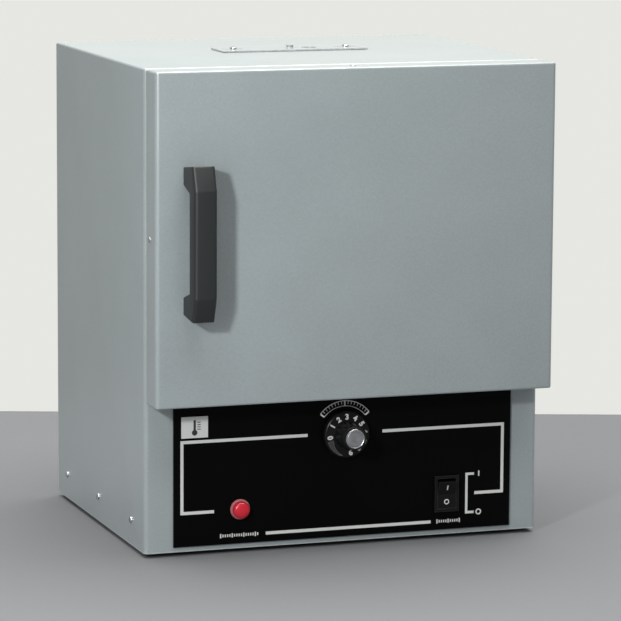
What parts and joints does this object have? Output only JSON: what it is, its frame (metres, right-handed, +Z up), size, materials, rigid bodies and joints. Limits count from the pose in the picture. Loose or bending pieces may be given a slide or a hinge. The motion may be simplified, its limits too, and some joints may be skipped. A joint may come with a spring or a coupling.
{
  "type": "bench drying oven",
  "caption": "Small insulated bench drying oven: side-hinged door with a bridge handle, lower control panel with dial, pilot lamp and rocker switch, vent slide on top.",
  "frame": {"origin": "on the surface the feet stand on, under the middle of the whole part's box", "axes": "+X to the right and +Y to the back as seen from the front, +Z up; the door faces -Y"},
  "size_m": [0.371, 0.3526, 0.4265],
  "materials": {
    "grey_paint": "satin grey stoved enamel, faintly mottled",
    "black_panel": "satin black",
    "black_plastic": "satin black moulding",
    "stainless": "brushed",
    "zinc_steel": "zinc plated",
    "element_sheath": "heat-darkened",
    "mineral_wool": "fibrous",
    "silicone": "matte",
    "silver_cap": "satin",
    "red_lens": "clear red, domed",
    "lamp_rim": "pale",
    "foot_rubber": "matte",
    "magnet": "sintered",
    "copper": "dull",
    "brass": "dull",
    "lead_sleeve": "woven glass sleeve"
  },
  "bodies": {
    "cabinet": {"base_pan": "zinc_steel", "bay_plate": "zinc_steel", "capillary_tube": "copper", "catch_magnet": "magnet", "chamber_back": "stainless", "chamber_floor": "stainless", "chamber_liner": "stainless", "control_panel": "black_panel", "element_flange": "brass", "element_lead": "lead_sleeve", "foot_front_left": "foot_rubber", "foot_front_right": "foot_rubber", "foot_rear_left": "foot_rubber", "foot_rear_right": "foot_rubber", "heating_element": "element_sheath", "hinge_lower_case_leaf": "stainless", "hinge_lower_pin": "stainless", "hinge_upper_case_leaf": "stainless", "hinge_upper_pin": "stainless", "inlet_pin_earth": "brass", "inlet_pin_left": "brass", "inlet_pin_right": "brass", "inlet_socket": "black_plastic", "insulation_wrap": "mineral_wool", "outer_case": "grey_paint", "pilot_body": "lamp_rim", "pilot_lens": "red_lens", "rear_cover": "grey_paint", "sensor_bulb": "copper", "sensor_clip": "stainless", "shelf_runner_left": "stainless", "shelf_runner_right": "stainless", "side_screw_left_1": "stainless", "side_screw_left_2": "stainless", "side_screw_left_3": "stainless", "side_screw_right_1": "stainless", "side_screw_right_2": "stainless", "side_screw_right_3": "stainless", "slide_screw_left": "stainless", "slide_screw_right": "stainless", "switch_housing": "black_plastic", "thermostat_body": "zinc_steel", "vent_tube": "stainless"},
    "door": {"door_outer_pan": "grey_paint", "door_inner_pan": "stainless", "door_insulation": "mineral_wool", "door_seal": "silicone", "door_handle": "black_plastic", "handle_screw_lower": "stainless", "handle_screw_upper": "stainless", "hinge_lower_door_leaf": "stainless", "hinge_upper_door_leaf": "stainless", "catch_strike": "zinc_steel"},
    "dial": {"dial_knob": "black_plastic", "dial_shaft": "stainless", "dial_cap": "silver_cap"},
    "rocker": {"rocker_button": "black_plastic"},
    "vent": {"vent_slide": "grey_paint"},
    "lower_shelf": {"shelf_lower": "stainless"},
    "upper_shelf": {"shelf_upper": "stainless"}
  },
  "joints": [
    {"name": "door_hinge", "type": "hinge", "parent": "cabinet", "child": "door", "pos_m": [0.1823, -0.10875, 0.279], "axis": [0, 0, 1], "range_deg": [0, 180]},
    {"name": "dial_turn", "type": "hinge", "parent": "cabinet", "child": "dial", "pos_m": [-0.0024, -0.1098, 0.1], "axis": [0, 1, 0], "range_deg": [0, 300]},
    {"name": "rocker_tilt", "type": "hinge", "parent": "cabinet", "child": "rocker", "pos_m": [0.0926, -0.1088, 0.041], "axis": [-1, 0, 0], "range_deg": [0, 20]},
    {"name": "vent_travel", "type": "slide", "parent": "cabinet", "child": "vent", "axis": [1, 0, 0], "range_m": [-0.009, 0.009]},
    {"name": "lower_shelf_travel", "type": "slide", "parent": "cabinet", "child": "lower_shelf", "axis": [0, -1, 0], "range_m": [0, 0.02]},
    {"name": "upper_shelf_travel", "type": "slide", "parent": "cabinet", "child": "upper_shelf", "axis": [0, -1, 0], "range_m": [0, 0.02]}
  ]
}
